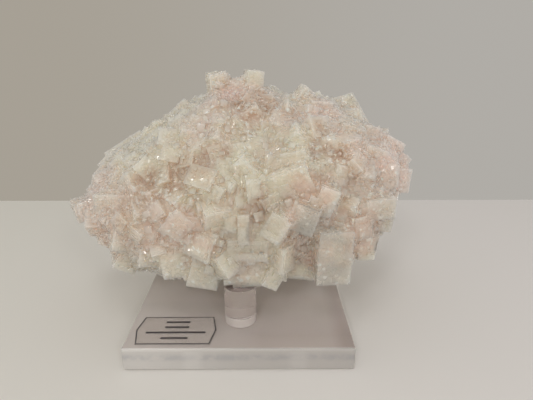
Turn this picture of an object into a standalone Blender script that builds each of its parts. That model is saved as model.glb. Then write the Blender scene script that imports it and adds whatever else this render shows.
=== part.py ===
"""Halite crystal cluster resting on a clear acrylic stand with three pegs and a small film label.

Row frame: origin at the middle of the stand's underside, +Z up, -Y towards the front edge and
+X to the right along the specimen's longest side. Every length is in metres.
"""

import math
import random

import bmesh
import bpy
from mathutils import Euler, Matrix, Vector, noise

MM = 0.001

# Stand
BASE_WIDTH = 101.6 * MM
BASE_THICKNESS = 11.2 * MM
BASE_EDGE_BREAK = 0.4 * MM
PEG_DIAMETER = 15 * MM
PEG_HEIGHT = 19 * MM
PEG_EDGE_BREAK = 0.35 * MM
PEG_SIDES = 40
PEG_PLACES = {
    "peg_front": (0, -29.3 * MM),
    "peg_rear_left": (-29.5 * MM, 26.5 * MM),
    "peg_rear_right": (29.5 * MM, 26.5 * MM),
}
CONTACT_GAP = 0.3 * MM  # between solids that touch
PEG_CLEARANCE = 0.6 * MM  # between a peg's side and the crystals beside it
PEG_TOP = BASE_THICKNESS + CONTACT_GAP + PEG_HEIGHT

# Label: a film cut to a rectangle whose ends come to a low point
LABEL_LENGTH = 32.8 * MM
LABEL_DEPTH = 20.6 * MM
LABEL_POINT = 2.2 * MM
LABEL_THICKNESS = 0.3 * MM
LABEL_CENTRE = (-29.1 * MM, -38.2 * MM)

# Crystal mass: the core that the crystals grow from
BODY_CENTRE = Vector((0, 8, 71)) * MM
BODY_FRONT = 43 * MM
BODY_BACK = 46 * MM
BODY_FULLNESS = 0.86  # 1 is an ellipsoid, and less is boxier
BODY_LEAN = 0.22  # how far the body leans back for each unit of height
UNDERSIDE = 35 * MM
CORNER_MERGE = 0.002 * MM  # corners of crystals that fall closer than this become one
# Height and wavelength of the body's lumps, and the shift that keeps the two sets apart
LUMPS = (
    (3.0 * MM, 26 * MM, Vector((0, 1.9, 4.1))),
    (1.3 * MM, 11 * MM, Vector((7.3, 1.9, 4.1))),
)
CORE_DETAIL = 3  # subdivisions of the sphere that the solid core starts from
CORE_DEPTH = 2.5 * MM  # how far the core lies under the surface that the crystals sit on
# Reach of the body from its centre, seen from the front: degrees from +X towards +Z, and mm
BODY_REACH = (
    (0, 78), (11, 76), (23, 65), (34, 56), (45, 51), (56, 46), (70, 43), (90, 44), (101, 43),
    (114, 41), (130, 42), (144, 46), (157, 50), (168, 59), (180, 71), (191, 79), (198, 73),
    (208, 64), (222, 58), (240, 50), (270, 42), (300, 50), (318, 58), (334, 62), (348, 69),
)  # fmt: skip
# Hollows between groups of crystals on the front: x, z and radius in mm, and their depth
HOLLOWS = (
    (3, 103, 9, 5), (38, 84, 7, 5), (-42, 68, 9, 4), (-24, 76, 8, 3), (-5, 84, 6, 4),
    (0, 71, 6, 4), (30, 48, 7, 9), (-24, 51, 8, 5), (20, 92, 8, 2), (-60, 52, 7, 3),
)  # fmt: skip

# Crystals that stand out, in mm: x, y and z of the middle, then width, depth and height, then
# degrees of tilt forwards, lean to the right and turn to the left
STANDING = (
    # along the crest
    (-11, 6, 116.5, 8.5, 9, 13, 5, -4, 20),
    (-2, 7, 114, 12, 9, 9, 0, 2, -10),
    (6, 6, 117, 8, 9, 14, 0, 6, 15),
    (30, 6, 113, 6, 6, 7, 10, 38, 30),
    (37.5, 4, 105, 11, 11, 11, 0, 3, 10),
    (45.5, 3, 100.5, 11, 11, 10, 5, 28, 5),
    (60, 3, 94, 11, 11, 10, 0, 15, 20),
    (-39, 5, 98, 7, 7, 6, 0, -5, 10),
    # right end
    (74, 4, 81, 12, 13, 12, 0, 35, 10),
    (71.5, 2, 88.5, 11, 11, 9, 0, 28, 15),
    (75, 1, 72.5, 13, 13, 12, -5, 8, 15),
    (62.5, -20, 66, 14, 12, 10, 5, -4, 12),
    (66, -17, 57, 8, 9, 8, 0, 12, 25),
    (58, -22, 47.5, 9, 9, 13, 0, 8, 14),
    (54, -24, 58, 10, 10, 11, 0, -5, 25),
    (48, -14, 93, 10, 9, 9, 20, -10, 30),
    (60, -10, 87, 12, 11, 11, 10, 20, 15),
    # front, right of the middle
    (42.2, -27.5, 45.4, 15.4, 13, 26.5, 3, 1, 6),
    (43, -24, 65, 11, 9, 10, 0, 5, -10),
    (29.5, -31, 66, 12, 11, 14, 10, 18, -15),
    (21, -26, 77, 25, 12, 17, 12, -24, -12),
    (25, -21, 88.5, 11, 10, 9, 10, -12, -10),
    (44, -22, 81, 7, 8, 11, 5, 10, 20),
    # front, middle
    (16.6, -33.5, 61, 9.5, 9, 11.5, -8, 30, -14),
    (18.5, -29.5, 44.5, 9.4, 9.6, 12.5, 0, 0, 52),
    (28, -17.5, 43.2, 15, 11, 28, 0, 3, -8),
    (2.3, -35, 61.2, 5, 7, 13.5, 0, 0, 4),
    (-2.7, -34, 63.3, 5, 6, 7.5, 0, 0, -6),
    (4, -31.5, 50.5, 17.5, 10, 9.5, 0, 2, 0),
    (2.7, -25, 84, 11.5, 10, 11.5, 14, 45, 0),
    (13, -29, 71, 9, 8, 9, 5, -20, 25),
    # front, left
    (-16.5, -32, 63.5, 12, 8, 6.5, 8, 4, 3),
    (-20, -30, 71, 6.5, 7, 6.5, 10, 20, 30),
    (-16, -27, 38, 14.5, 11, 16.5, 4, 16, 10),
    (-31, -28, 42, 10, 10, 13, 0, -5, 15),
    (-42, -25, 44, 11, 10, 9, 0, 10, 25),
    (-54, -19, 39.5, 11, 11, 11, 0, 32, 20),
    (-54, -24, 52, 10, 10, 10, 0, 15, 30),
    (-36, -25, 73, 9, 9, 8, 0, -20, 20),
    (-53, -18, 66, 22, 14, 13, 0, -4, -14),
    (-79, 2, 57, 13, 14, 9, 0, -8, 30),
    # feet over the pegs, and a corner that hangs beside the front one
    (3, -26, 37, 15, 13, 14, 0, -5, 8),
    (14.5, -29, 35, 8, 9, 10, 0, 30, 15),
    (-29.5, 26.5, 37, 15, 15, 14.5, 3, 4, 24),
    (29.5, 26.5, 37, 16, 15, 14.5, -3, 3, -20),
)  # fmt: skip

# Edge of the crystals that grow between those, then the ranges of x, y and z in which it holds,
# all in mm. The first row that a place fits counts.
ANY = (-200, 200)
CRYSTAL_EDGES = (
    (18, ANY, (32, 200), ANY),  # back
    (5, (24, 36), (-200, -10), (38, 60)),  # the deep hollow beside the tall crystal
    (13, ANY, (-12, 200), (0, 38)),  # underside
    (8.6, (-200, -12), ANY, (60, 200)),  # fine, up on the left
    (12, ANY, (8, 200), ANY),  # sides and top
    (10.5, (-24, 200), ANY, (0, 74)),  # coarse, low on the front
    (9.5, ANY, ANY, (0, 54)),
    (7.4, (-200, 8), ANY, (0, 104)),
    (8.5, ANY, ANY, ANY),
)
SEED = 11
DART_THROWS = 12000
EDGE_SPREAD = (0.78, 1.25)  # least and most edge for each unit of the edge of its place
STRETCH = (0.8, 1.25)  # least and most of each side for each unit of edge
SPACING = 0.95  # distance between crystals for each unit of edge
SWAY = 22  # degrees that a crystal leans from straight out of the body
SUNK = (0.08, 0.36)  # how far its middle lies under the surface, for each unit of edge


def clear_scene():
    for obj in list(bpy.data.objects):
        bpy.data.objects.remove(obj)


def new_collection(name):
    collection = bpy.data.collections.new(name)
    bpy.context.scene.collection.children.link(collection)
    return collection


def material(name, colour, roughness, transmission=0.0, ior=1.49):
    """A plain finish with the part's colour, roughness and clearness."""
    made = bpy.data.materials.new(name)
    made.use_nodes = True
    shader = made.node_tree.nodes["Principled BSDF"]
    shader.inputs["Base Color"].default_value = (*colour, 1)
    shader.inputs["Roughness"].default_value = roughness
    shader.inputs["Transmission Weight"].default_value = transmission
    shader.inputs["IOR"].default_value = ior
    return made


def new_object(name, bm, collection, finish=None):
    """An object made from a bmesh, which is freed."""
    mesh = bpy.data.meshes.new(name)
    bm.to_mesh(mesh)
    bm.free()
    obj = bpy.data.objects.new(name, mesh)
    collection.objects.link(obj)
    if finish:
        mesh.materials.append(finish)
    return obj


def break_edges(obj, width):
    bevel = obj.modifiers.new("edge_break", "BEVEL")
    bevel.width = width
    bevel.segments = 1
    bevel.limit_method = "ANGLE"
    bevel.angle_limit = math.radians(40)


def make_base(collection, finish):
    bm = bmesh.new()
    size = Matrix.Diagonal((BASE_WIDTH, BASE_WIDTH, BASE_THICKNESS, 1))
    bmesh.ops.create_cube(bm, size=1, matrix=Matrix.Translation((0, 0, BASE_THICKNESS / 2)) @ size)
    base = new_object("base_plate", bm, collection, finish)
    break_edges(base, BASE_EDGE_BREAK)


def make_peg(name, place, collection, finish):
    bm = bmesh.new()
    bmesh.ops.create_cone(
        bm, cap_ends=True, segments=PEG_SIDES, depth=PEG_HEIGHT,
        radius1=PEG_DIAMETER / 2, radius2=PEG_DIAMETER / 2,
    )  # fmt: skip
    peg = new_object(name, bm, collection, finish)
    peg.location = (*place, PEG_TOP - PEG_HEIGHT / 2)
    break_edges(peg, PEG_EDGE_BREAK)
    peg.data.shade_smooth()
    peg.data.set_sharp_from_angle(angle=math.radians(30))


def make_label(collection, finish):
    """The film's outline as a filled curve, extruded by half its thickness each way."""
    half_length, half_depth = LABEL_LENGTH / 2, LABEL_DEPTH / 2
    outline = [
        (-half_length, -half_depth),
        (half_length, -half_depth),
        (half_length + LABEL_POINT, 0),
        (half_length, half_depth),
        (-half_length, half_depth),
        (-half_length - LABEL_POINT, 0),
    ]
    curve = bpy.data.curves.new("label", "CURVE")
    curve.dimensions = "2D"
    curve.fill_mode = "BOTH"
    curve.extrude = LABEL_THICKNESS / 2
    spline = curve.splines.new("POLY")
    spline.points.add(len(outline) - 1)
    for point, (x, y) in zip(spline.points, outline):
        point.co = (x, y, 0, 1)
    spline.use_cyclic_u = True
    curve.materials.append(finish)
    label = bpy.data.objects.new("label", curve)
    collection.objects.link(label)
    height = BASE_THICKNESS + CONTACT_GAP + LABEL_THICKNESS / 2
    label.location = (*LABEL_CENTRE, height)


def reach_at(angle):
    """The body's reach from its centre in the front view, smooth between the listed angles."""
    degrees = math.degrees(angle) % 360
    listed = [*BODY_REACH, (360, BODY_REACH[0][1])]
    for (a0, r0), (a1, r1) in zip(listed, listed[1:]):
        if a0 <= degrees <= a1:
            t = (degrees - a0) / (a1 - a0)
            return (r0 + (r1 - r0) * t * t * (3 - 2 * t)) * MM
    return BODY_REACH[0][1] * MM


def sunk_at(point):
    """How deep the hollows of the front lie under the body at a point."""
    sunk = 0
    for x, z, radius, depth in HOLLOWS:
        off = math.hypot(point.x / MM - x, point.z / MM - z) / radius
        sunk += depth * MM * math.exp(-(off**2))
    return sunk


def body_point(direction):
    """Where a point of the unit sphere goes on the body."""
    rim = math.hypot(direction.x, direction.z)
    outward = reach_at(math.atan2(direction.z, direction.x)) * rim**BODY_FULLNESS
    x = outward * direction.x / max(rim, 1e-9)
    z = outward * direction.z / max(rim, 1e-9)
    depth = BODY_FRONT if direction.y < 0 else BODY_BACK
    y = math.copysign(depth * abs(direction.y) ** BODY_FULLNESS, direction.y) + BODY_LEAN * z
    point = BODY_CENTRE + Vector((x, y, z))
    raised = sum(height * noise.noise(point / length + shift) for height, length, shift in LUMPS)
    if direction.y < 0:
        raised -= sunk_at(point)
    point += direction * raised
    point.z = max(point.z, UNDERSIDE)
    return point


def sphere_mapped(place, detail):
    """A sphere with each of its points moved to where the function says."""
    bm = bmesh.new()
    bmesh.ops.create_icosphere(bm, subdivisions=detail, radius=1)
    for vert in bm.verts:
        vert.co = place(vert.co.normalized())
    return bm


def core_point(direction):
    """A point of the core, which lies under the surface that the crystals sit on."""
    return body_point(direction) - direction * CORE_DEPTH


def turned(tilt, lean, turn):
    """A rotation from degrees of tilt forwards, lean to the right and turn to the left."""
    return Euler([math.radians(angle) for angle in (tilt, lean, turn)]).to_matrix()


def standing_crystals():
    """Place, sides and turn of each crystal that stands out."""
    return [
        (Vector(row[:3]) * MM, Vector(row[3:6]) * MM, turned(*row[6:])) for row in STANDING
    ]


def crystal_edge(point):
    """How large crystals grow at a place on the body."""
    for edge, *ranges in CRYSTAL_EDGES:
        if all(low <= place <= high for place, (low, high) in zip(point / MM, ranges)):
            return edge * MM
    return CRYSTAL_EDGES[-1][0] * MM


def mean(sides):
    return sum(sides) / len(sides)


def grow_crystals(rng):
    """The crystals that stud the body, no two closer than their size allows."""
    crystals = standing_crystals()
    for _ in range(DART_THROWS):
        direction = Vector([rng.gauss(0, 1) for _ in range(3)]).normalized()
        point = body_point(direction)
        edge = crystal_edge(point) * rng.uniform(*EDGE_SPREAD)
        if any((point - c[0]).length < SPACING * (edge + mean(c[1])) / 2 for c in crystals):
            continue
        place = point - direction * edge * rng.uniform(*SUNK)
        sides = Vector([edge * rng.uniform(*STRETCH) for _ in range(3)])
        outward = direction.to_track_quat("Z", "Y").to_matrix()
        spin = turned(rng.gauss(0, SWAY), rng.gauss(0, SWAY), rng.uniform(0, 90))
        crystals.append((place, sides, outward @ spin))
    return crystals


def add_crystal(bm, place, sides, turn):
    at = Matrix.Translation(place) @ turn.to_4x4() @ Matrix.Diagonal((*sides, 1))
    bmesh.ops.create_cube(bm, size=1, matrix=at)


def crystal_blocks(crystals):
    """Crystals sorted into blocks in which none overlaps another."""
    blocks = []
    for crystal in crystals:
        place, sides, _ = crystal
        for block in blocks:
            if all((place - p).length > (sides.length + s.length) / 2 for p, s, _ in block):
                block.append(crystal)
                break
        else:
            blocks.append([crystal])
    return blocks


def join(target, tool, operation):
    """A Boolean of two mesh objects, applied. The tool is removed."""
    modifier = target.modifiers.new("join", "BOOLEAN")
    modifier.operation = operation
    modifier.solver = "EXACT"
    modifier.object = tool
    depsgraph = bpy.context.evaluated_depsgraph_get()
    mesh = bpy.data.meshes.new_from_object(target.evaluated_get(depsgraph))
    target.modifiers.remove(modifier)
    target.data = mesh
    bpy.data.objects.remove(tool)


def keep_outer_shell(obj):
    """Deletes the walls of closed pockets between crystals, and anything that hangs free."""
    bm = bmesh.new()
    bm.from_mesh(obj.data)
    bmesh.ops.remove_doubles(bm, verts=bm.verts, dist=CORNER_MERGE)
    unseen = set(bm.verts)
    shells = []
    while unseen:
        shell = set()
        reached = [unseen.pop()]
        while reached:
            vert = reached.pop()
            shell.add(vert)
            near = {edge.other_vert(vert) for edge in vert.link_edges} & unseen
            unseen -= near
            reached.extend(near)
        shells.append(shell)
    shells.sort(key=len)
    for shell in shells[:-1]:
        bmesh.ops.delete(bm, geom=list(shell), context="VERTS")
    bm.to_mesh(obj.data)
    bm.free()


def seat_on_pegs(cluster, cutters):
    """Flattens the cluster where it rests on the pegs, and clears it from their sides."""
    for name, place in PEG_PLACES.items():
        bm = bmesh.new()
        bmesh.ops.create_cone(
            bm, cap_ends=True, segments=PEG_SIDES // 2, depth=PEG_HEIGHT,
            radius1=PEG_DIAMETER / 2 + PEG_CLEARANCE, radius2=PEG_DIAMETER / 2 + PEG_CLEARANCE,
            matrix=Matrix.Translation((*place, PEG_TOP + CONTACT_GAP - PEG_HEIGHT / 2)),
        )  # fmt: skip
        join(cluster, new_object(f"seat_{name}", bm, cutters), "DIFFERENCE")


def make_cluster(collection, cutters, finish):
    core = sphere_mapped(core_point, CORE_DETAIL)
    cluster = new_object("halite_cluster", core, collection, finish)
    crystals = grow_crystals(random.Random(SEED))
    for number, block in enumerate(crystal_blocks(crystals)):
        bm = bmesh.new()
        for crystal in block:
            add_crystal(bm, *crystal)
        join(cluster, new_object(f"block_{number}", bm, cutters), "UNION")
    seat_on_pegs(cluster, cutters)
    keep_outer_shell(cluster)


def main():
    clear_scene()
    part = new_collection("halite_specimen")
    cutters = new_collection("cutters")
    acrylic = material("clear_acrylic", (0.96, 0.95, 0.94), 0.03, transmission=1.0)
    halite = material("halite", (0.86, 0.76, 0.70), 0.3, transmission=0.3, ior=1.544)
    film = material("label_film", (0.9, 0.88, 0.86), 0.2, transmission=0.8)
    make_base(part, acrylic)
    for name, place in PEG_PLACES.items():
        make_peg(name, place, part, acrylic)
    make_label(part, film)
    make_cluster(part, cutters, halite)


main()
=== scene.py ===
"""Dresses the halite specimen: the fine crystals of the cluster, its clear stand and its label.

Laid out as a Blender add-on and run as a script. Lengths are in metres, in the frame of the CAD
model: the origin is the middle of the stand's underside, +Z up and -Y towards the front edge.
"""

import math
import random

import bmesh
import bpy
import numpy as np
from mathutils import Euler, Matrix, Vector, noise
from mathutils.bvhtree import BVHTree
from mathutils.geometry import tessellate_polygon


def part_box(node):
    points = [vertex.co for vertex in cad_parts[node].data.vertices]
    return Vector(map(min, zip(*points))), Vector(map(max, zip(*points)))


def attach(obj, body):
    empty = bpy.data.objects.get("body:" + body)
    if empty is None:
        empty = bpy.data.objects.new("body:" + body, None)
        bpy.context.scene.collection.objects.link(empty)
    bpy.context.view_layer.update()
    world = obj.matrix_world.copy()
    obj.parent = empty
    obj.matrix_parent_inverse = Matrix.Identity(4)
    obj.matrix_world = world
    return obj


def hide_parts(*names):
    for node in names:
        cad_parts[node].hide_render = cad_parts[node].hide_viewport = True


bl_info = {
    "name": "Halite Specimen",
    "version": (1, 0, 0),
    "blender": (4, 5, 0),
    "location": "View3D > Sidebar > Halite",
    "description": "Grows the fine crystals of a halite cluster and finishes its acrylic stand",
    "category": "Object",
}

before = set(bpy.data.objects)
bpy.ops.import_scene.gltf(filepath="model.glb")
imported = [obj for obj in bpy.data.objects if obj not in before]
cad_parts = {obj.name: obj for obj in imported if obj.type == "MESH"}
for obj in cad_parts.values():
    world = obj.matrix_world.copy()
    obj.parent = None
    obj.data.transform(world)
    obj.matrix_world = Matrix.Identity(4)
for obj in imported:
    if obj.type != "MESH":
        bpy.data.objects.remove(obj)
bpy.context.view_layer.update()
MM = 0.001
CLUSTER = "halite_cluster"
PLATE = "base_plate"
PEGS = ("peg_front", "peg_rear_left", "peg_rear_right")
LABEL = "label"

# Reading the CAD solids
MERGE = 1e-6
FLAT_ANGLE = math.radians(0.5)  # faces that turn less than this are one face
SQUARE_EDGE = (math.radians(88), math.radians(92))  # the turn over an edge of a cube

SEED = 23

# Where the cluster is coarse, and where sugary
COARSE_MIDDLE = (18, 52)  # X and Z, in mm, of the middle of the coarse part
COARSE_RADII = (58, 34)  # its half width and half height, in mm
SUGAR_START = 0.75  # where the change to sugary starts, in those radii
SUGAR_GAIN = 2.6  # how soon it is complete
SUGAR_STRAY = 0.4  # how far noise shifts it
SUGAR_NOISE = 14 * MM
BACK_START, BACK_REACH = 15, 30  # Y in mm, over which the crystals grow coarser at the back
UNDER_START, UNDER_REACH = 40, 8  # Z in mm, the same on the underside, going down
UNDER_NORMAL = -0.5  # the underside's faces look further down than this

# The skin between the crystals, with pairs for where it is coarse and where it is sugary
SKIN_CELL = 1.7 * MM
SKIN_FILL = (2.8 * MM, 4.2 * MM)  # half the widest gap that the skin fills
SKIN_RISE = (-0.9 * MM, -0.3 * MM)  # how far the skin stands above the crystals it joins
SKIN_SHARE = 0.4  # share of its triangles that are kept, everywhere

# Fine crystals. One is on a host where the skin lies inside a large crystal, and free elsewhere.
CROWD_CELL = 4 * MM
CROWD = 0.78  # closest spacing of fine crystals for each unit of edge
HOST_DEPTH = 0.35 * MM  # how deep the skin then lies
HOST_COVER = (0.14, 1.5)  # coarse, sugary: crystals tried for each squared edge of a host
FREE_COVER = 1.6  # the same off the hosts
HOST_EDGE = 0.7  # edge of those on a host, for each unit of the usual one
HOST_RISE = 0.55  # how far they stand out, for each unit of the usual rise
BACK_GAIN = 0.9  # how much larger crystals grow at the back and the underside
EDGE_SPREAD = 0.28  # spread of the logarithm of the edge
SIDE_RANGE = (0.7, 1.35)  # each side of a crystal, for each unit of its edge
RISE_LEAST = 0.05  # least share of a crystal's height that stands out, off the hosts
EMBED = 0.5  # share of a crystal's height that always stays inside its host
SWAY = (3, 13)  # coarse, sugary: usual tilt in degrees
SPUN_SHARE = (0.1, 0.4)  # coarse, sugary: share of the crystals that are spun freely

# Growth steps on large faces
STEP_FACE = 4.5 * MM  # side of a square as large as the smallest such face
FACE_REACH = 1.0  # further than any face reaches
STEP_ROOM = 1.6 * MM  # least reach of such a face from its centre
STEP_SUGAR = 0.4  # no growth steps where the cluster is more sugary than this
STEPPED_FACES = 0.8  # share of the large faces that carry growth steps
PITTED_FACES = 0.4  # share of those whose steps go down
STEP_COUNT = (2, 4)
STEP_SHRINK = (0.55, 0.95)  # a step's width for each unit of the one under it
STEP_SHIFTS = (-0.95, 0.3, 0.95)  # where it lies in the room left, from one side to the other
STEP_SPREAD = (0.5, 1.5)  # its height for each unit of the usual one
SLAB_EMBED = 1.2 * MM
PIT_LID = 0.5 * MM  # how far a pit's cutter stands out of the face

# How shut in each point is
OCCLUSION_RAYS = 12
OCCLUSION_REACH = 14 * MM
OCCLUSION_LIFT = 0.15  # start of each ray off the surface, in mm
BLUR_ROUNDS = 14

# The stand
SMOOTH_ANGLE = math.radians(40)
SHADE_BAND_HEIGHT = 6.4 * MM  # middle of the band of painted shade along the plate's cut sides
PEG_GHOSTS = (-20.3 * MM, 26.0 * MM)  # X where the rear pegs show faintly in the cut front side, as painted light

# Optics
SALT_IOR = 1.544
SALT_DEPTH = 0.014  # how far light spreads in the salt
ACRYLIC_IOR = 1.49
FILM_IOR = 1.2  # low, so that the plate shows through the film
FILM_CLEAR = 0.85
SATIN_FOOT = 0.2  # roughness that frost adds to a peg's foot
SATIN_SIDE = 0.32  # roughness that sawing adds to the plate's sides
DULL_SIDE = 0.16  # clearness that it takes from them

# Textures: waves or cells for each metre
STAIN_WAVES = 60
FLECK_CELLS = 720
FLECK_WAVES = 50
POLISH_CELLS = 330
FACET_CELLS = 800
GRAIN_CELLS = 1100
GRAIN_WAVES = 700
PATCH_WAVES = 70
SHADE_BAND_WAVES = 240
TINT_WAVES = 14
HAZE_WAVES = 90
INK_WAVES = 900
FILM_TINT_WAVES = 120
FILM_HAZE_WAVES = 500
TABLE_WAVES = 3

# Textures: how strong they are
FACET_TILT = 0.4
GRAIN_STRENGTH = 0.38
GRAIN_HEIGHT = 0.3 * MM
PATCH_STRAY = 0.03  # how far the edge of a patch wanders, from side to side
PATCH_FULL = 0.3  # share of a patch's reach where it is full
HOLLOW_SHARE = 0.6  # of the hollow in how shut in the salt looks, beside the recess
INK_FADING = 2.2
TABLE_STRAY = 0.06

# Ranges: from, to, then what these give (0 and 1 where not said)
PAINTED_LIGHT_LOW = (50 * MM, 30 * MM, 0, 0.8)  # Z to painted light that makes the salt paler low down, as if lit from below
STAINED = (0.1, 0.45, 0.45, 1)  # recess to the strength of an amber patch
CLOUDED = (0.5, 0.72, 0, 0.4)  # noise to tan clouds in the salt
RECESS_SHADE = (0.45, 0.95)  # how shut in the salt is to the tan of painted shade
GLINTING = (0.88, 0.95, 0, 0.9)  # a cell's value to how strongly its fleck of painted glint shows
GLINT_SPREAD = (0.4, 0.6, 0.1, 1)  # noise to how strongly those cells of painted glint show
SALT_CLEAR = (0, 1, 0.18, 0.34)  # clear patches to transmission
SALT_POLISH = (0.1, 0.9, 0.05, 0.42)  # a cell's value to its roughness
SHADE_BAND_REACH = (2.4 * MM, 0.6 * MM)  # distance off the band's height to the strength of its painted shade
SHADE_BAND_PATCHY = (0.35, 0.6, 0, 0.8)  # noise to the strength of the painted shade band
PALE_TOP = (-2 * MM, -1 * MM)  # height above the plate's top to its band of painted highlight
GHOSTLY = (5.4 * MM, 2.2 * MM, 0, 0.45)  # distance off a rear peg to how pale its painted light makes the side
HAZY = (0.4, 0.75, 0, 0.04)  # noise to the roughness of polished acrylic
PEG_FOOT = (5 * MM, 4.25 * MM)  # height above a peg's foot to how satin it is; its lighter look there is painted light, for light reflected inside the peg
PEG_TOP = (0.7, 0.9)  # Z of the normal to how far a face is the peg's top, which gets painted shadow
PEG_CLEAR = (0, 1, 0.86, 0.5)  # how satin a peg's foot is to transmission; less clear, so lighter
CUT_SIDE = (0.9, 0.5)  # Z of the normal to how far a face is a cut side
SHADED = (41 * MM, 47 * MM, 0, 0.8)  # X to the painted shade along the plate's right edge
PLATE_CLEAR_X = (-40 * MM, 10 * MM, 0.5, 0.7)  # X to the most transmission there; the less clear left looks lighter, as painted light
PLATE_CLEAR_Y = (-42 * MM, -12 * MM, 0.7, 0.47)  # Y to the most transmission there; the less clear back looks lighter, as painted light
FILM_HAZE = (0.3, 0.7, 0.02, 0.06)  # noise to roughness
TABLE_TURN = (-0.15, 0.2)  # X to how far the table has turned from its painted shade on the left to its right colour

# Patches of colour in the salt: middle and reach in mm, and strength
PINK_PATCHES = (
    ((-2, 4, 106), 24, 1.0), ((16, 2, 104), 22, 1.0), ((38, 0, 104), 28, 0.8),
    ((78, -6, 84), 40, 1.0), ((52, -12, 86), 26, 0.7), ((-70, -8, 60), 32, 0.9),
    ((-44, -18, 56), 28, 0.9), ((28, -30, 66), 16, 0.9), ((55, -20, 62), 22, 0.6),
    ((-15, -16, 102), 15, 0.6), ((-33, -35, 69), 14, 0.7), ((7, -32, 38), 12, 0.7),
    ((55, 45, 80), 38, 0.9), ((-12, 58, 78), 26, 0.7), ((-62, 32, 62), 28, 0.8),
)  # fmt: skip
PALE_PATCHES = (
    ((-36, 1, 101), 26, 0.8), ((-49, -15, 88), 15, 0.7), ((27, -27, 91), 11, 1.0),
    ((3, -31, 86), 16, 0.9), ((24, 3, 111), 14, 0.6), ((24, -33, 84), 8, 0.7),
)  # fmt: skip
# Tan, partly painted shade where the hollows and recesses lie
TAN_AND_SHADE_PATCHES = (
    ((-21, -36, 59), 15, 1.0), ((-11, -38, 57), 10, 0.8), ((-62, -23, 51), 11, 1.0),
    ((-41, -35, 57), 10, 1.0), ((31, -25, 42), 12, 0.9), ((27, -28, 53), 9, 0.8),
    ((34, -35, 79), 10, 0.9), ((26, -33, 77), 8, 0.8), ((56, -30, 55), 12, 0.9),
    ((71, -16, 76), 12, 0.7), ((-2, -33, 34), 11, 0.5),
)  # fmt: skip
AMBER_PATCHES = (
    ((-38, -30, 76), 10, 1.0), ((-25, -27, 85), 12, 1.0), ((-14, -28, 88), 11, 0.9),
    ((-4, -25, 93), 7, 0.8), ((3, -34, 72), 8, 0.8), ((5, -13, 106), 14, 1.0),
    ((-1, -9, 108), 13, 0.9), ((13, -6, 108), 10, 0.9), ((33, -18, 101), 8, 0.8),
    ((41, -22, 89), 9, 1.0), ((50, -27, 88), 8, 0.9), ((38, -20, 93), 8, 0.8),
    ((-52, -31, 66), 13, 0.8), ((-43, -32, 64), 9, 0.6), ((28, -36, 72), 5, 0.8),
    ((47, -27, 72), 8, 0.8), ((30, -34, 79), 13, 0.8), ((56, -32, 54), 15, 0.8),
)  # fmt: skip
CLEAR_PATCHES = (
    ((43, -45, 52), 24, 1.8), ((43, -45, 38), 24, 1.8), ((-15, -27, 36), 20, 0.3),
    ((4, -30, 50), 22, 0.3), ((64, -14, 56), 26, 0.5), ((-45, -20, 38), 22, 0.3),
)  # fmt: skip


# ---------------------------------------------------------------------------------- settings


class HaliteSettings(bpy.types.PropertyGroup):
    """Sizes and colours of the crystal cluster."""

    fine_edge: bpy.props.FloatProperty(
        name="Fine crystal edge",
        description="Usual edge of the sugary crystals up on the left",
        default=1.65 * MM,
        unit="LENGTH",
    )
    coarse_edge: bpy.props.FloatProperty(
        name="Coarse crystal edge",
        description="Usual edge of the small crystals between the large ones",
        default=2.4 * MM,
        unit="LENGTH",
    )
    step_rise: bpy.props.FloatProperty(
        name="Growth step",
        description="Height of one growth step on a large face",
        default=0.26 * MM,
        unit="LENGTH",
    )
    cream: bpy.props.FloatVectorProperty(
        name="Cream",
        description="Colour of the clean crystals",
        subtype="COLOR",
        size=4,
        default=(0.785, 0.728, 0.598, 1),
    )
    pink: bpy.props.FloatVectorProperty(
        name="Pink",
        description="Colour of the pink crystals at the right end and the crest",
        subtype="COLOR",
        size=4,
        default=(0.845, 0.70, 0.635, 1),
    )
    # Also the colour of the painted light low down
    pale: bpy.props.FloatVectorProperty(
        name="Pale",
        description="Colour of the whitest crystals",
        subtype="COLOR",
        size=4,
        default=(0.83, 0.785, 0.65, 1),
    )
    # Painted glint: white flecks on the salt that stand in for sparkle
    painted_glint: bpy.props.FloatVectorProperty(
        name="Fleck",
        description="Colour of the small frosty facets",
        subtype="COLOR",
        size=4,
        default=(0.97, 0.95, 0.875, 1),
    )
    # Tan of the salt's clouds and patches, and also painted shade between the crystals and in the
    # hollows
    tan: bpy.props.FloatVectorProperty(
        name="Tan",
        description="Colour between the crystals and in the hollows",
        subtype="COLOR",
        size=4,
        default=(0.78, 0.635, 0.54, 1),
    )
    amber: bpy.props.FloatVectorProperty(
        name="Amber",
        description="Colour of the stained patches",
        subtype="COLOR",
        size=4,
        default=(0.62, 0.45, 0.33, 1),
    )
    clear: bpy.props.FloatVectorProperty(
        name="Clear",
        description="Colour of the clearer, greyer crystals low on the front",
        subtype="COLOR",
        size=4,
        default=(0.64, 0.605, 0.545, 1),
    )


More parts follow.
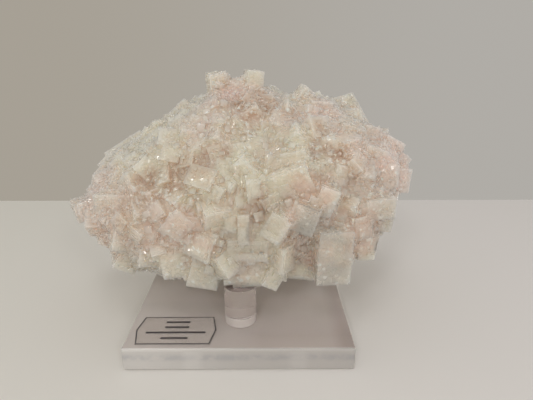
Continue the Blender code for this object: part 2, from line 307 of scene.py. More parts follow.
class StandSettings(bpy.types.PropertyGroup):
    """Sizes and colours of the stand and its label."""

    peg_sides: bpy.props.IntProperty(
        name="Peg sides", description="Sides of each round peg", default=128
    )
    edge_polish: bpy.props.FloatProperty(
        name="Edge polish",
        description="Width of the polished edge of a peg",
        default=0.35 * MM,
        unit="LENGTH",
    )
    acrylic: bpy.props.FloatVectorProperty(
        name="Acrylic",
        description="Tint of the clear acrylic",
        subtype="COLOR",
        size=4,
        default=(0.99, 0.935, 0.905, 1),
    )
    acrylic_warm: bpy.props.FloatVectorProperty(
        name="Warm acrylic",
        description="Tint where the clear acrylic looks warmer",
        subtype="COLOR",
        size=4,
        default=(0.985, 0.90, 0.865, 1),
    )
    # Painted shade: a darker band along the plate's right edge, where its side shows through the
    # top
    painted_edge_shade: bpy.props.FloatVectorProperty(
        name="Shaded edge",
        description="Tint of the acrylic along the plate's right edge",
        subtype="COLOR",
        size=4,
        default=(0.80, 0.70, 0.67, 1),
    )
    cut_edge: bpy.props.FloatVectorProperty(
        name="Cut edge",
        description="Colour of the plate's satin cut sides",
        subtype="COLOR",
        size=4,
        default=(0.80, 0.775, 0.745, 1),
    )
    # Painted highlight along the plate's top edge, and painted light where the rear pegs show
    # through the front side
    pale_edge: bpy.props.FloatVectorProperty(
        name="Pale edge",
        description="Colour of the cut sides where they catch the light",
        subtype="COLOR",
        size=4,
        default=(0.95, 0.93, 0.90, 1),
    )
    # Painted shade: a darker, patchy band along the middle of the cut sides, for the cluster's
    # shade seen through them
    painted_side_shade: bpy.props.FloatVectorProperty(
        name="Saw mark",
        description="Colour of the faint marks along the cut sides",
        subtype="COLOR",
        size=4,
        default=(0.62, 0.615, 0.62, 1),
    )
    # Painted shadow of the cluster on the top of each peg
    painted_peg_shadow: bpy.props.FloatVectorProperty(
        name="Tack",
        description="Colour of the clear tack that dulls the top of a peg",
        subtype="COLOR",
        size=4,
        default=(0.30, 0.24, 0.22, 1),
    )
    ink: bpy.props.FloatVectorProperty(
        name="Ink",
        description="Colour of the label's print",
        subtype="COLOR",
        size=4,
        default=(0.035, 0.03, 0.035, 1),
    )
    film: bpy.props.FloatVectorProperty(
        name="Film",
        description="Tint of the label's clear film",
        subtype="COLOR",
        size=4,
        default=(1.0, 0.97, 0.945, 1),
    )
    film_warm: bpy.props.FloatVectorProperty(
        name="Warm film",
        description="Tint where the label's film looks warmer",
        subtype="COLOR",
        size=4,
        default=(0.98, 0.95, 0.93, 1),
    )
    border_width: bpy.props.FloatProperty(
        name="Border width",
        description="Width of the label's printed border",
        default=0.6 * MM,
        unit="LENGTH",
    )


class StageSettings(bpy.types.PropertyGroup):
    """The floor, lights and camera."""

    # The table's left colour is painted shade: a little darker and warmer than the right
    table_left: bpy.props.FloatVectorProperty(
        name="Table left", description="Colour of the table on the left", subtype="COLOR", size=4,
        default=(0.765, 0.745, 0.69, 1),
    )  # fmt: skip
    table_right: bpy.props.FloatVectorProperty(
        name="Table right", description="Colour of the table on the right", subtype="COLOR",
        size=4, default=(0.79, 0.76, 0.745, 1),
    )  # fmt: skip
    wall_left: bpy.props.FloatVectorProperty(
        name="Wall left", description="Colour behind the table on the left", subtype="COLOR",
        size=4, default=(0.385, 0.352, 0.300, 1),
    )  # fmt: skip
    wall_right: bpy.props.FloatVectorProperty(
        name="Wall right", description="Colour behind the table on the right", subtype="COLOR",
        size=4, default=(0.434, 0.415, 0.385, 1),
    )  # fmt: skip
    room_low: bpy.props.FloatVectorProperty(
        name="Room low", description="Colour of the room round the table", subtype="COLOR",
        size=4, default=(0.80, 0.769, 0.716, 1), soft_max=2,
    )  # fmt: skip
    room_high: bpy.props.FloatVectorProperty(
        name="Room high", description="Colour of the room overhead", subtype="COLOR",
        size=4, default=(0.42, 0.407, 0.383, 1), soft_max=2,
    )  # fmt: skip
    overhead_power: bpy.props.FloatProperty(
        name="Overhead light", description="Power of the overhead softbox", default=1.92,
        unit="POWER",
    )  # fmt: skip
    key_power: bpy.props.FloatProperty(
        name="Key light", description="Power of the softbox above the front", default=1.0,
        unit="POWER",
    )  # fmt: skip
    glint_power: bpy.props.FloatProperty(
        name="Glint light", description="Power of the small light that makes crystals sparkle",
        default=1.3, unit="POWER",
    )  # fmt: skip


# ------------------------------------------------------------------------------ mesh helpers


def new_piece(name, bm, *materials):
    """A mesh object at the origin made from a bmesh, which is freed."""
    mesh = bpy.data.meshes.new(name)
    bm.to_mesh(mesh)
    bm.free()
    for material in materials:
        mesh.materials.append(material)
    obj = bpy.data.objects.new(name, mesh)
    bpy.context.scene.collection.objects.link(obj)
    return obj


def merged_node(name):
    """A copy of a CAD node's mesh with its loose triangles joined into whole flat faces."""
    bm = bmesh.new()
    bm.from_mesh(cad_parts[name].data)
    bmesh.ops.remove_doubles(bm, verts=bm.verts, dist=MERGE)
    bmesh.ops.dissolve_limit(bm, angle_limit=FLAT_ANGLE, verts=bm.verts, edges=bm.edges)
    bm.normal_update()
    return bm


def applied(target):
    """Bakes a mesh object's modifiers into its mesh."""
    depsgraph = bpy.context.evaluated_depsgraph_get()
    mesh = bpy.data.meshes.new_from_object(target.evaluated_get(depsgraph))
    target.modifiers.clear()
    target.data = mesh


# ------------------------------------------------------------------------- crystal growth


def crystal_axes(face):
    """A flat face's directions as a matrix: along its crystal's edge, across it and outwards."""
    square = [
        edge
        for edge in face.edges
        if edge.is_manifold and SQUARE_EDGE[0] < edge.calc_face_angle(0) < SQUARE_EDGE[1]
    ]
    edge = max(square or face.edges, key=lambda e: e.calc_length())
    along = (edge.verts[1].co - edge.verts[0].co).normalized()
    across = face.normal.cross(along).normalized()
    return Matrix((along, across, face.normal)).transposed()


def sugary(point):
    """How finely grown the surface is: 1 over the top and the ends, 0 low in the middle."""
    x, _, z = point / MM
    off = math.hypot(
        (x - COARSE_MIDDLE[0]) / COARSE_RADII[0],
        (z - COARSE_MIDDLE[1]) / COARSE_RADII[1],
    )
    stray = SUGAR_STRAY * noise.noise(point / SUGAR_NOISE)
    return min(max((off - SUGAR_START) * SUGAR_GAIN + stray, 0), 1)


def between(pair, share):
    """The value that lies that share of the way from the pair's first to its second."""
    return pair[0] + (pair[1] - pair[0]) * share


def remeshed(obj, cell):
    """Rebuilds an object's skin in cells of one size, which joins what overlaps."""
    modifier = obj.modifiers.new("skin", "REMESH")
    modifier.mode = "VOXEL"
    modifier.voxel_size = cell
    modifier.use_smooth_shade = False
    applied(obj)


def thinned(obj, share):
    """Keeps a share of an object's triangles, mostly where its surface turns."""
    modifier = obj.modifiers.new("thin", "DECIMATE")
    modifier.ratio = share
    applied(obj)


def swell(obj, distance):
    """Moves an object's skin outwards by distance(point)."""
    bm = bmesh.new()
    bm.from_mesh(obj.data)
    bm.normal_update()
    for vert in bm.verts:
        vert.co += vert.normal * distance(vert.co)
    bm.to_mesh(obj.data)
    bm.free()


def filling_skin():
    """A skin over the cluster that closes the narrow gaps between its crystals."""
    skin = new_piece("skin", merged_node(CLUSTER))
    remeshed(skin, SKIN_CELL)
    swell(skin, lambda p: between(SKIN_FILL, sugary(p)))
    remeshed(skin, SKIN_CELL)
    swell(skin, lambda p: between(SKIN_RISE, sugary(p)) - between(SKIN_FILL, sugary(p)))
    remeshed(skin, SKIN_CELL)
    thinned(skin, SKIN_SHARE)
    return skin


def random_point(face, rng):
    """A point chosen evenly over a flat face."""
    corners = [v.co for v in face.verts]
    triangles = [[corners[i] for i in t] for t in tessellate_polygon([corners])]
    areas = [(b - a).cross(c - a).length for a, b, c in triangles]
    a, b, c = rng.choices(triangles, weights=areas)[0]
    u, v = sorted((rng.random(), rng.random()))
    return a * u + b * (v - u) + c * (1 - v)


class Crowd:
    """Points and what lies there, kept in cells so that near ones are found quickly."""

    def __init__(self, cell):
        self.cell = cell
        self.cells = {}

    def key(self, point):
        """The cell that a point lies in."""
        return tuple(int(math.floor(c / self.cell)) for c in point)

    def near(self, point):
        """What is kept in a point's cell and in those round it."""
        i, j, k = self.key(point)
        for a in (i - 1, i, i + 1):
            for b in (j - 1, j, j + 1):
                for c in (k - 1, k, k + 1):
                    yield from self.cells.get((a, b, c), ())

    def add(self, point, item):
        self.cells.setdefault(self.key(point), []).append((point, item))


def unseen(point, normal):
    """1 at the back and on the underside, where the crystals grow coarser, and 0 in front."""
    behind = (point.y / MM - BACK_START) / BACK_REACH
    below = (UNDER_START - point.z / MM) / UNDER_REACH if normal.z < UNDER_NORMAL else 0
    return min(max(behind, below, 0), 1)


def swayed(fineness, rng):
    """A small tilt, to which some crystals add a free spin."""
    sway = math.radians(between(SWAY, fineness))
    spin = rng.gauss(0, sway)
    if rng.random() < between(SPUN_SHARE, fineness):
        spin += rng.uniform(0, math.pi / 2)
    return Euler((rng.gauss(0, sway), rng.gauss(0, sway), spin)).to_matrix()


def fine_crystals(skin, hosts, halite, rng):
    """Small crystals over the skin: centre, sides and turn of each."""
    crowd = Crowd(CROWD_CELL)
    made = []
    axes = [crystal_axes(face) for face in hosts.faces]
    crystals = BVHTree.FromBMesh(hosts)
    for face in skin.faces:
        centre = face.calc_center_median()
        fineness = sugary(centre)
        usual = between((halite.coarse_edge, halite.fine_edge), fineness)
        usual *= 1 + BACK_GAIN * unseen(centre, face.normal)
        near, normal, _, far = crystals.find_nearest(centre)
        on_host = (centre - near).dot(normal) < 0 and far > HOST_DEPTH
        cover = between(HOST_COVER, fineness) if on_host else FREE_COVER
        wanted = face.calc_area() * cover / usual**2
        for _ in range(int(wanted + rng.random())):
            point = random_point(face, rng)
            outwards = face.normal
            near, normal, host, _ = crystals.find_nearest(point)
            if on_host:
                point, outwards = near, normal
            edge = usual * math.exp(rng.gauss(0, EDGE_SPREAD)) * (HOST_EDGE if on_host else 1)
            if any((point - p).length < CROWD * (edge + e) / 2 for p, e in crowd.near(point)):
                continue
            crowd.add(point, edge)
            turn = swayed(fineness, rng)
            sides = Vector([edge * rng.uniform(*SIDE_RANGE) for _ in range(3)])
            rise = sides.z * rng.uniform(RISE_LEAST, 1 - EMBED) * (HOST_RISE if on_host else 1)
            place = point + outwards * (rise - sides.z / 2)
            made.append((place, sides, axes[host] @ turn))
    return made


def colour_groups(boxes):
    """Sorts boxes into groups in which none touches another."""
    widest = max(sides.length for _, sides, _ in boxes)
    crowd = Crowd(widest)
    groups = []
    for box in boxes:
        place, sides, _ = box
        taken = {
            group
            for p, (size, group) in crowd.near(place)
            if (p - place).length < (size + sides.length) / 2
        }
        group = next(n for n in range(len(groups) + 1) if n not in taken)
        if group == len(groups):
            groups.append([])
        groups[group].append(box)
        crowd.add(place, (sides.length, group))
    return groups


def join_mesh(target, tool, operation):
    """Joins a closed mesh object to another, or cuts it from it, and deletes it."""
    modifier = target.modifiers.new("growth", "BOOLEAN")
    modifier.operation = operation
    modifier.solver = "MANIFOLD"
    modifier.object = tool
    applied(target)
    bpy.data.objects.remove(tool)


def join_boxes(target, boxes, operation):
    """Joins boxes to a mesh object, or cuts them from it, a group at a time."""
    for group in colour_groups(boxes):
        bm = bmesh.new()
        for place, sides, turn in group:
            at = Matrix.Translation(place) @ turn.to_4x4() @ Matrix.Diagonal((*sides, 1))
            bmesh.ops.create_cube(bm, size=1, matrix=at)
        join_mesh(target, new_piece("growth", bm), operation)


def room_around(face, centre, axes):
    """How far a face reaches from its centre along and across, both ways the same."""
    inward = axes.transposed()
    corners = [inward @ (v.co - centre) for v in face.verts]
    reach = [FACE_REACH, FACE_REACH]
    for a, b in zip(corners, corners[1:] + corners[:1]):
        for axis in (0, 1):
            other = 1 - axis
            if (a[other] > 0) == (b[other] > 0):
                continue
            t = a[other] / (a[other] - b[other])
            reach[axis] = min(reach[axis], abs(a[axis] + (b[axis] - a[axis]) * t))
    return reach


def growth_steps(bm, halite, rng):
    """Slabs that step up on some of the large faces, and pits that step down in others."""
    raised, sunk = [], []
    for face in bm.faces:
        if face.calc_area() < STEP_FACE**2:
            continue
        centre = face.calc_center_median_weighted()
        axes = crystal_axes(face)
        along, across = room_around(face, centre, axes)
        if min(along, across) < STEP_ROOM:
            continue
        if rng.random() > STEPPED_FACES or sugary(centre) > STEP_SUGAR:
            continue
        pit = rng.random() < PITTED_FACES
        room = Vector((along, across))
        middle = Vector((0, 0))
        rise = 0
        for _ in range(rng.randint(*STEP_COUNT)):
            smaller = Vector([half * rng.uniform(*STEP_SHRINK) for half in room])
            middle += Vector([(a - b) * rng.choice(STEP_SHIFTS) for a, b in zip(room, smaller)])
            room = smaller
            rise += halite.step_rise * rng.uniform(*STEP_SPREAD)
            low, high = (-rise, PIT_LID) if pit else (-SLAB_EMBED, rise)
            place = centre + axes @ Vector((*middle, (low + high) / 2))
            box = (place, Vector((2 * room.x, 2 * room.y, high - low)), axes)
            (sunk if pit else raised).append(box)
    return raised, sunk


def keep_largest(obj):
    """Deletes closed pockets and loose bits, keeping the one outer skin."""
    bm = bmesh.new()
    bm.from_mesh(obj.data)
    left = set(bm.verts)
    skins = []
    while left:
        skin = set()
        reached = [left.pop()]
        while reached:
            vert = reached.pop()
            skin.add(vert)
            near = {edge.other_vert(vert) for edge in vert.link_edges} & left
            left -= near
            reached.extend(near)
        skins.append(skin)
    skins.sort(key=len)
    for skin in skins[:-1]:
        bmesh.ops.delete(bm, geom=list(skin), context="VERTS")
    bm.to_mesh(obj.data)
    bm.free()


def recess_of(obj, rng):
    """How shut in each point of an object is, from 0 in the open upwards."""
    tree = BVHTree.FromObject(obj, bpy.context.evaluated_depsgraph_get())
    rays = [Vector([rng.gauss(0, 1) for _ in range(3)]).normalized() for _ in range(OCCLUSION_RAYS)]
    values = []
    for vert in obj.data.vertices:
        start = vert.co + vert.normal * OCCLUSION_LIFT * MM
        hits = 0
        for ray in rays:
            way = ray if ray.dot(vert.normal) > 0 else -ray
            _, _, _, far = tree.ray_cast(start, way, OCCLUSION_REACH)
            if far is not None:
                hits += 1 - far / OCCLUSION_REACH
        values.append(hits / OCCLUSION_RAYS)
    return values


def blurred(values, mesh):
    """Values of a mesh's points, averaged again and again with those of their neighbours."""
    ends = np.empty(2 * len(mesh.edges), dtype=np.int32)
    mesh.edges.foreach_get("vertices", ends)
    first, second = ends[::2], ends[1::2]
    smooth = np.array(values)
    shared = np.bincount(ends, minlength=len(smooth)) + 1
    for _ in range(BLUR_ROUNDS):
        total = np.bincount(first, smooth[second], len(smooth))
        total += np.bincount(second, smooth[first], len(smooth))
        smooth = (smooth + total) / shared
    return smooth


def store_recess(obj, rng):
    """Stores on each point how shut in it is, and the same blurred as the hollow it lies in."""
    recess = recess_of(obj, rng)
    for name, values in (("recess", recess), ("hollow", blurred(recess, obj.data))):
        attribute = obj.data.attributes.new(name, "FLOAT", "POINT")
        attribute.data.foreach_set("value", values)


# --------------------------------------------------------------------------------- materials


class Nodes:
    """Short ways to add and link the nodes of a tree."""

    def __init__(self, tree):
        self.tree = tree

    def add(self, kind, **values):
        """A new node with its properties set."""
        node = self.tree.nodes.new(kind)
        for name, value in values.items():
            setattr(node, name, value)
        return node

    def feed(self, socket, value):
        """Links a node's output to a socket, or sets a plain value on it."""
        if isinstance(value, bpy.types.NodeSocket):
            self.tree.links.new(value, socket)
        else:
            socket.default_value = value

    def split(self, vector):
        """The outputs X, Y and Z of a vector."""
        node = self.add("ShaderNodeSeparateXYZ")
        self.feed(node.inputs["Vector"], vector)
        return node.outputs

    def ranged(self, value, low, high, to_low=0.0, to_high=1.0, curve="LINEAR"):
        """A value that goes from to_low to to_high as the given one goes from low to high."""
        node = self.add("ShaderNodeMapRange", clamp=True, interpolation_type=curve)
        for name, number in (
            ("From Min", low), ("From Max", high), ("To Min", to_low), ("To Max", to_high),
        ):  # fmt: skip
            node.inputs[name].default_value = number
        self.feed(node.inputs["Value"], value)
        return node.outputs["Result"]

    def mixed(self, factor, first, second):
        """A colour that goes from the first to the second as the factor goes from 0 to 1."""
        node = self.add("ShaderNodeMix", data_type="RGBA")
        for name, value in (("Factor", factor), ("A", first), ("B", second)):
            self.feed(node.inputs[name], value)
        return node.outputs["Result"]

    def maths(self, operation, *values):
        """The result of an operation on values, which may be numbers or outputs."""
        node = self.add("ShaderNodeMath", operation=operation)
        for socket, value in zip(node.inputs, values):
            self.feed(socket, value)
        return node.outputs["Value"]

    def vector(self, operation, *values):
        """The same for vectors."""
        node = self.add("ShaderNodeVectorMath", operation=operation)
        for socket, value in zip(node.inputs, values):
            self.feed(socket, value)
        return node.outputs["Value" if operation == "DISTANCE" else "Vector"]


class Surface(Nodes):
    """A new material, with short ways to texture it by the object's own coordinates."""

    def __init__(self, name):
        self.material = bpy.data.materials.new(name)
        self.material.use_nodes = True
        super().__init__(self.material.node_tree)
        self.shader = self.tree.nodes["Principled BSDF"]

    def set(self, **values):
        """Feeds the shader's own sockets, given as names with _ for a space."""
        for name, value in values.items():
            self.feed(self.shader.inputs[name.replace("_", " ")], value)

    def position(self):
        """Where each point lies, in the object's own coordinates."""
        return self.add("ShaderNodeTexCoord").outputs["Object"]

    def attribute(self, name):
        """A value stored on the points of the mesh."""
        return self.add("ShaderNodeAttribute", attribute_name=name).outputs["Fac"]

    def noise(self, scale, detail=3.0, roughness=0.55):
        """Smooth noise from 0 to 1."""
        node = self.add("ShaderNodeTexNoise")
        values = {"Scale": scale, "Detail": detail, "Roughness": roughness}
        for name, value in values.items():
            node.inputs[name].default_value = value
        self.feed(node.inputs["Vector"], self.position())
        return node.outputs["Fac"]

    def cells(self, scale):
        """Square cells, with the Distance from the middle of each and a Color of its own."""
        node = self.add("ShaderNodeTexVoronoi", distance="CHEBYCHEV")
        node.inputs["Scale"].default_value = scale
        self.feed(node.inputs["Vector"], self.position())
        return node.outputs

    def facing(self):
        """The outputs X, Y and Z of the way that the mesh's own faces look."""
        return self.split(self.add("ShaderNodeNewGeometry").outputs["True Normal"])

    def facets(self, scale, tilt):
        """A normal that turns a little from cell to cell, as over a crust of tiny crystals."""
        spread = (2 * tilt,) * 3
        lean = self.vector("MULTIPLY_ADD", self.cells(scale)["Color"], spread, (-tilt,) * 3)
        straight = self.add("ShaderNodeNewGeometry").outputs["Normal"]
        return self.vector("NORMALIZE", self.vector("ADD", straight, lean))

    def patches(self, places):
        """Strongest in the middle of each patch, whose edge wanders."""
        stray = self.add("ShaderNodeTexNoise")
        stray.inputs["Scale"].default_value = PATCH_WAVES
        self.feed(stray.inputs["Vector"], self.position())
        shift = self.vector(
            "MULTIPLY_ADD", stray.outputs["Color"], (PATCH_STRAY,) * 3, (-PATCH_STRAY / 2,) * 3
        )
        point = self.vector("ADD", self.position(), shift)
        total = None
        for middle, reach, strength in places:
            off = self.vector("DISTANCE", point, Vector(middle) * MM)
            patch = self.ranged(off, reach * MM, PATCH_FULL * reach * MM, 0, strength)
            total = patch if total is None else self.maths("MAXIMUM", total, patch)
        return total

    def bumped(self, height, strength, distance):
        """The normal of a surface with this height over it."""
        node = self.add("ShaderNodeBump")
        node.inputs["Strength"].default_value = strength
        node.inputs["Distance"].default_value = distance
        self.feed(node.inputs["Height"], height)
        return node.outputs["Normal"]


def salt_colour(n, halite, clear):
    """Cream with patches of each colour, painted light low down, light brown painted shade in the
    hollows, and white flecks of painted glint.
    """
    body = n.mixed(n.patches(PINK_PATCHES), tuple(halite.cream), tuple(halite.pink))
    # Painted light: the salt grows paler low down, as if lit from below through it
    low = n.ranged(n.split(n.position())["Z"], *PAINTED_LIGHT_LOW)
    pale = n.maths("MAXIMUM", low, n.patches(PALE_PATCHES))
    body = n.mixed(pale, body, tuple(halite.pale))
    body = n.mixed(clear, body, tuple(halite.clear))
    recess = n.attribute("recess")
    stained = n.maths("MULTIPLY", n.patches(AMBER_PATCHES), n.ranged(recess, *STAINED))
    body = n.mixed(stained, body, tuple(halite.amber))
    # Tan patches, partly painted shade in the hollows
    body = n.mixed(n.patches(TAN_AND_SHADE_PATCHES), body, tuple(halite.tan))
    clouded = n.ranged(n.noise(STAIN_WAVES, 2), *CLOUDED)
    body = n.mixed(clouded, body, tuple(halite.tan))
    # Painted shade: tan where the salt is shut in
    hollow = n.maths("MULTIPLY", n.attribute("hollow"), HOLLOW_SHARE)
    recess_shade = n.maths("MULTIPLY_ADD", recess, 1 - HOLLOW_SHARE, hollow)
    body = n.mixed(n.ranged(recess_shade, *RECESS_SHADE), body, tuple(halite.tan))
    # Painted glint: white flecks in a share of the small cells
    glinting = n.ranged(n.split(n.cells(FLECK_CELLS)["Color"])["Y"], *GLINTING)
    glint_spread = n.ranged(n.noise(FLECK_WAVES), *GLINT_SPREAD)
    return n.mixed(n.maths("MULTIPLY", glinting, glint_spread), body, tuple(halite.painted_glint))


def halite_material(halite):
    """Translucent salt under a clear coat whose tiny facets sparkle."""
    n = Surface("halite")
    n.set(Subsurface_Weight=1.0, Subsurface_Scale=SALT_DEPTH, IOR=SALT_IOR)
    n.set(Subsurface_Radius=(1.0, 0.92, 0.86), Subsurface_Anisotropy=0.3)
    n.set(Coat_Weight=0.55, Coat_Roughness=0.07, Specular_IOR_Level=0.15)
    clear = n.patches(CLEAR_PATCHES)
    polish = n.split(n.cells(POLISH_CELLS)["Color"])["X"]
    grain = n.maths("ADD", n.cells(GRAIN_CELLS)["Distance"], n.noise(GRAIN_WAVES, 4))
    n.set(
        Base_Color=salt_colour(n, halite, clear),
        Transmission_Weight=n.ranged(clear, *SALT_CLEAR),
        Roughness=n.ranged(polish, *SALT_POLISH),
        Coat_Normal=n.facets(FACET_CELLS, FACET_TILT),
        Normal=n.bumped(grain, GRAIN_STRENGTH, GRAIN_HEIGHT),
    )
    return n.material


def cut_side_colour(n, stand):
    """Painted highlight along the top edge and painted light where the rear pegs show through, with
    a band of painted shade between.
    """
    place = n.split(n.position())
    # Painted shade: a patchy band along the middle of the side
    off_middle = n.maths("ABSOLUTE", n.maths("SUBTRACT", place["Z"], SHADE_BAND_HEIGHT))
    patchy = n.ranged(n.noise(SHADE_BAND_WAVES, 4), *SHADE_BAND_PATCHY)
    marks = n.maths("MULTIPLY", n.ranged(off_middle, *SHADE_BAND_REACH), patchy)
    colour = n.mixed(marks, tuple(stand.cut_edge), tuple(stand.painted_side_shade))
    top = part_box(PLATE)[1].z
    # Painted highlight along the top edge, and painted light where the rear pegs show through
    pale = n.ranged(place["Z"], *(top + above for above in PALE_TOP))
    for middle in PEG_GHOSTS:
        off_ghost = n.maths("ABSOLUTE", n.maths("SUBTRACT", place["X"], middle))
        pale = n.maths("MAXIMUM", pale, n.ranged(off_ghost, *GHOSTLY))
    return n.mixed(pale, colour, tuple(stand.pale_edge))


def clear_acrylic(name, stand):
    """Clear cast acrylic: its nodes, tint and faint haze."""
    n = Surface(name)
    n.set(IOR=ACRYLIC_IOR)
    tint = n.mixed(n.noise(TINT_WAVES, 2), tuple(stand.acrylic), tuple(stand.acrylic_warm))
    return n, tint, n.ranged(n.noise(HAZE_WAVES, 4), *HAZY)


def peg_material(stand):
    """Clear acrylic with a satin foot that looks lighter, partly as painted light, and with painted
    shadow on its top.
    """
    n, tint, haze = clear_acrylic("peg_acrylic", stand)
    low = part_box(PEGS[0])[0].z
    foot = n.ranged(n.split(n.position())["Z"], *(low + above for above in PEG_FOOT))
    # Painted shadow darkens the peg's top
    top = n.ranged(n.facing()["Z"], *PEG_TOP)
    n.set(
        Base_Color=n.mixed(top, tint, tuple(stand.painted_peg_shadow)),
        Roughness=n.maths("MULTIPLY_ADD", foot, SATIN_FOOT, haze),
        # Less clear at the foot, so lighter: painted light for light reflected inside the peg
        Transmission_Weight=n.ranged(foot, *PEG_CLEAR),
    )
    return n.material


def plate_material(stand):
    """Clear acrylic with satin cut sides, clearest at the front and to the right; the less clear
    left and back look lighter as painted light, and a band of painted shade runs along the right
    edge.
    """
    n, tint, haze = clear_acrylic("plate_acrylic", stand)
    place = n.split(n.position())
    side = n.ranged(n.maths("ABSOLUTE", n.facing()["Z"]), *CUT_SIDE)
    # Painted shade along the right edge
    tint = n.mixed(n.ranged(place["X"], *SHADED), tint, tuple(stand.painted_edge_shade))
    # Painted light: less clear, so lighter, on the left and towards the back
    clear_x = n.ranged(place["X"], *PLATE_CLEAR_X)
    clear_y = n.ranged(place["Y"], *PLATE_CLEAR_Y)
    clear = n.maths("MINIMUM", clear_x, clear_y)
    n.set(
        Base_Color=n.mixed(side, tint, cut_side_colour(n, stand)),
        Roughness=n.maths("MULTIPLY_ADD", side, SATIN_SIDE, haze),
        Transmission_Weight=n.maths("SUBTRACT", clear, n.maths("MULTIPLY", side, DULL_SIDE)),
    )
    return n.material


def ink_material(stand):
    """Black print with slightly uneven cover."""
    n = Surface("label_ink")
    ink = tuple(stand.ink)
    faded = (*(part * INK_FADING for part in ink[:3]), 1)
    n.set(Roughness=0.35, Base_Color=n.mixed(n.noise(INK_WAVES), ink, faded))
    return n.material


def film_material(stand):
    """Clear label film, a little duller than the plate under it."""
    n = Surface("label_film")
    tint = n.mixed(n.noise(FILM_TINT_WAVES), tuple(stand.film), tuple(stand.film_warm))
    haze = n.ranged(n.noise(FILM_HAZE_WAVES), *FILM_HAZE)
    n.set(Transmission_Weight=FILM_CLEAR, IOR=FILM_IOR, Base_Color=tint, Roughness=haze)
    return n.material


def table_material(stage):
    """A plain pale table, a little darker and warmer towards the left as painted shade."""
    n = Surface("table")
    across = n.split(n.position())["X"]
    stray = n.maths("MULTIPLY_ADD", n.noise(TABLE_WAVES), TABLE_STRAY, across)
    turned = n.ranged(stray, *TABLE_TURN)
    colour = n.mixed(turned, tuple(stage.table_left), tuple(stage.table_right))
    n.set(Roughness=0.6, Base_Color=colour)
    return n.material


# --------------------------------------------------------------------------------- operators


def grown_cluster(halite):
    """The cluster with growth steps on its large crystals and fine crystals all over."""
    rng = random.Random(SEED)
    hosts = merged_node(CLUSTER)
    raised, sunk = growth_steps(hosts, halite, rng)
    skin = filling_skin()
    bm = bmesh.new()
    bm.from_mesh(skin.data)
    bm.normal_update()
    fine = fine_crystals(bm, hosts, halite, rng)
    bm.free()
    piece = new_piece("halite_growth", hosts)
    join_boxes(piece, raised, "UNION")
    join_boxes(piece, sunk, "DIFFERENCE")
    join_mesh(piece, skin, "UNION")
    join_boxes(piece, fine, "UNION")
    keep_largest(piece)
    store_recess(piece, rng)
    return piece


class HALITE_OT_grow_cluster(bpy.types.Operator):
    """Grow the fine crystals and growth steps over the cluster"""

    bl_idname = "halite.grow_cluster"
    bl_label = "Grow Cluster"

    def execute(self, context):
        halite = context.scene.halite
        piece = grown_cluster(halite)
        piece.data.materials.clear()
        piece.data.materials.append(halite_material(halite))
        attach(piece, "root")
        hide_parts(CLUSTER)
        return {"FINISHED"}


class HALITE_OT_finish_stand(bpy.types.Operator):
    """Finish the plate in clear acrylic and turn smooth pegs in place of the plain ones"""

    bl_idname = "halite.finish_stand"
    bl_label = "Finish Stand"

    def execute(self, context):
        stand = context.scene.stand
        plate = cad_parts[PLATE]
        plate.data.materials.clear()
        plate.data.materials.append(plate_material(stand))
        acrylic = peg_material(stand)
        for name in PEGS:
            piece = self.peg(name, stand, acrylic)
            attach(piece, "root")
            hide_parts(name)
        return {"FINISHED"}

    def peg(self, name, stand, acrylic):
        """A round peg with polished edges that fills the box of a CAD peg."""
        low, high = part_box(name)
        radius = (high.x - low.x) / 2
        bm = bmesh.new()
        bmesh.ops.create_cone(
            bm, cap_ends=True, segments=stand.peg_sides, radius1=radius, radius2=radius,
            depth=high.z - low.z, matrix=Matrix.Translation((low + high) / 2),
        )  # fmt: skip
        rims = [e for e in bm.edges if abs(e.verts[0].co.z - e.verts[1].co.z) < MERGE]
        bmesh.ops.bevel(
            bm, geom=rims, offset=stand.edge_polish, offset_type="OFFSET", segments=3,
            profile=0.5, affect="EDGES", material=-1, clamp_overlap=True,
        )  # fmt: skip
        piece = new_piece(f"smooth_{name}", bm, acrylic)
        piece.data.shade_smooth()
        piece.data.set_sharp_from_angle(angle=SMOOTH_ANGLE)
        return piece


class HALITE_OT_print_label(bpy.types.Operator):
    """Print the label's border and four plain rules on its clear film"""

    bl_idname = "halite.print_label"
    bl_label = "Print Label"

    margin = 0.25 * MM
    rule_width = 1.2 * MM
    # Each rule's height above the label's middle, and its length
    rules = ((6.0 * MM, 11 * MM), (2.1 * MM, 11 * MM), (-1.9 * MM, 27 * MM), (-6.0 * MM, 12 * MM))

    def execute(self, context):
        stand = context.scene.stand
        bm = merged_node(LABEL)
        top = max(bm.faces, key=lambda f: f.calc_center_median().z)
        centre = top.calc_center_bounds()
        bmesh.ops.inset_individual(bm, faces=[top], thickness=self.margin)
        border = bmesh.ops.inset_individual(bm, faces=[top], thickness=stand.border_width)
        for face in border["faces"]:
            face.material_index = 1
        half_width = self.rule_width / 2
        field = [top]
        for rise, length in self.rules:
            for offset in (-half_width, half_width):
                field = self.split(bm, field, centre + Vector((0, rise + offset, 0)), (0, 1, 0))
            for end in (-length / 2, length / 2):
                field = self.split(bm, field, centre + Vector((end, 0, 0)), (1, 0, 0))
        for face in field:
            place = face.calc_center_median() - centre
            for rise, length in self.rules:
                if abs(place.y - rise) < half_width and abs(place.x) < length / 2:
                    face.material_index = 1
        piece = new_piece("label_print", bm, film_material(stand), ink_material(stand))
        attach(piece, "root")
        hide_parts(LABEL)
        return {"FINISHED"}

    def split(self, bm, field, place, normal):
        """Cuts the label's field along a plane and gives its faces back."""
        geom = dict.fromkeys(e for face in field for e in (face, *face.edges, *face.verts))
        cut = bmesh.ops.bisect_plane(bm, geom=list(geom), plane_co=place, plane_no=normal)
        return [g for g in cut["geom"] if isinstance(g, bmesh.types.BMFace)]


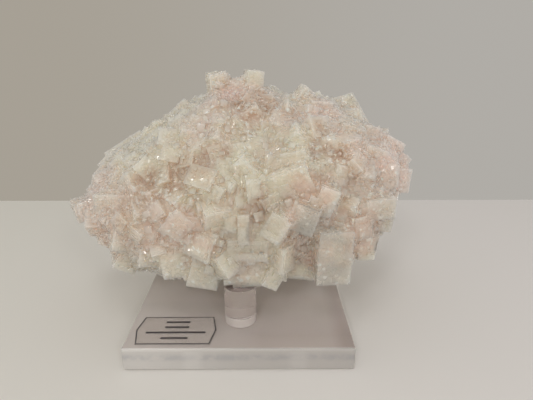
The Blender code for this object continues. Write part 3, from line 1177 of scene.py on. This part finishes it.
class HALITE_OT_set_stage(bpy.types.Operator):
    """Lay the table, light it softly and place the camera"""

    bl_idname = "halite.set_stage"
    bl_label = "Set Stage"

    camera_place = (0.0111, -0.2095, 0.1342)
    camera_turn = (math.radians(90 - 19.15), 0, math.radians(-0.37))
    camera_lens = 29.72
    camera_sensor = 36
    camera_near = 0.005
    table_far = 0.177
    table_near = -0.9
    table_half = 1.3
    table_under = -0.3 * MM
    light_aim = Vector((0, 0, 0.06))
    # The setting that powers each light, its share of that power, its place and its size
    softboxes = (
        ("overhead_power", 1, (-0.1, -0.4, 1.3), 2.4),
        ("key_power", 1, (-0.05, -0.4, 0.95), 0.3),
        ("glint_power", 1, (-0.22, -0.75, 0.6), 0.15),
        ("glint_power", 0.5, (0.3, -0.65, 0.45), 0.12),
    )
    # Where the directions of the surroundings turn from one colour to the next
    wall_turn = (-0.5, 0.5)
    room_turn = (0.3, 0.7)
    front_turn = (0.45, 0.8)

    def execute(self, context):
        stage = context.scene.stage
        self.table(stage)
        self.lights(stage)
        self.surroundings(stage)
        self.camera()
        return {"FINISHED"}

    def table(self, stage):
        """A flat table that ends in a straight edge behind the specimen."""
        bm = bmesh.new()
        depth = self.table_far - self.table_near
        at = Matrix.Translation((0, (self.table_far + self.table_near) / 2, self.table_under))
        size = Matrix.Diagonal((2 * self.table_half, depth, 1, 1))
        bmesh.ops.create_grid(bm, x_segments=1, y_segments=1, size=0.5, matrix=at @ size)
        new_piece("table", bm, table_material(stage))

    def lights(self, stage):
        """Square softboxes that all look at the specimen."""
        for setting, share, place, size in self.softboxes:
            light = bpy.data.lights.new("softbox", "AREA")
            light.size = size
            light.energy = getattr(stage, setting) * share
            lamp = bpy.data.objects.new("softbox", light)
            lamp.location = place
            way = self.light_aim - Vector(place)
            lamp.rotation_euler = way.to_track_quat("-Z", "Y").to_euler()
            bpy.context.scene.collection.objects.link(lamp)

    def surroundings(self, stage):
        """An even wall behind the table, warmer to the left, in a room that is palest low down."""
        world = bpy.data.worlds.new("room")
        bpy.context.scene.world = world
        world.use_nodes = True
        n = Nodes(world.node_tree)
        way = n.split(n.add("ShaderNodeTexCoord").outputs["Generated"])
        turned = {
            axis: n.ranged(way[axis], *reach, curve="SMOOTHSTEP")
            for axis, reach in (
                ("X", self.wall_turn), ("Y", self.front_turn), ("Z", self.room_turn),
            )
        }  # fmt: skip
        wall = n.mixed(turned["X"], tuple(stage.wall_left), tuple(stage.wall_right))
        room = n.mixed(turned["Z"], tuple(stage.room_low), tuple(stage.room_high))
        background = world.node_tree.nodes["Background"]
        n.feed(background.inputs["Color"], n.mixed(turned["Y"], room, wall))

    def camera(self):
        """A camera that looks at the front of the specimen from above."""
        data = bpy.data.cameras.new("camera")
        data.lens = self.camera_lens
        data.sensor_width = self.camera_sensor
        data.clip_start = self.camera_near
        camera = bpy.data.objects.new("camera", data)
        camera.location = self.camera_place
        camera.rotation_euler = self.camera_turn
        bpy.context.scene.collection.objects.link(camera)
        bpy.context.scene.camera = camera
        bpy.context.scene.view_settings.view_transform = "Standard"


class HALITE_PT_panel(bpy.types.Panel):
    """Lists the steps that dress the specimen"""

    bl_idname = "HALITE_PT_panel"
    bl_label = "Halite Specimen"
    bl_space_type = "VIEW_3D"
    bl_region_type = "UI"
    bl_category = "Halite"

    def draw(self, context):
        for step in STEPS:
            self.layout.operator(step.bl_idname)


STEPS = (HALITE_OT_grow_cluster, HALITE_OT_finish_stand, HALITE_OT_print_label, HALITE_OT_set_stage)
GROUPS = (("halite", HaliteSettings), ("stand", StandSettings), ("stage", StageSettings))


def register():
    for name, group in GROUPS:
        bpy.utils.register_class(group)
        setattr(bpy.types.Scene, name, bpy.props.PointerProperty(type=group))
    for step in (*STEPS, HALITE_PT_panel):
        bpy.utils.register_class(step)


def unregister():
    for step in (*STEPS, HALITE_PT_panel):
        bpy.utils.unregister_class(step)
    for name, group in GROUPS:
        delattr(bpy.types.Scene, name)
        bpy.utils.unregister_class(group)


def main():
    register()
    bpy.ops.halite.grow_cluster()
    bpy.ops.halite.finish_stand()
    bpy.ops.halite.print_label()
    bpy.ops.halite.set_stage()


if __name__ == "__main__":
    main()
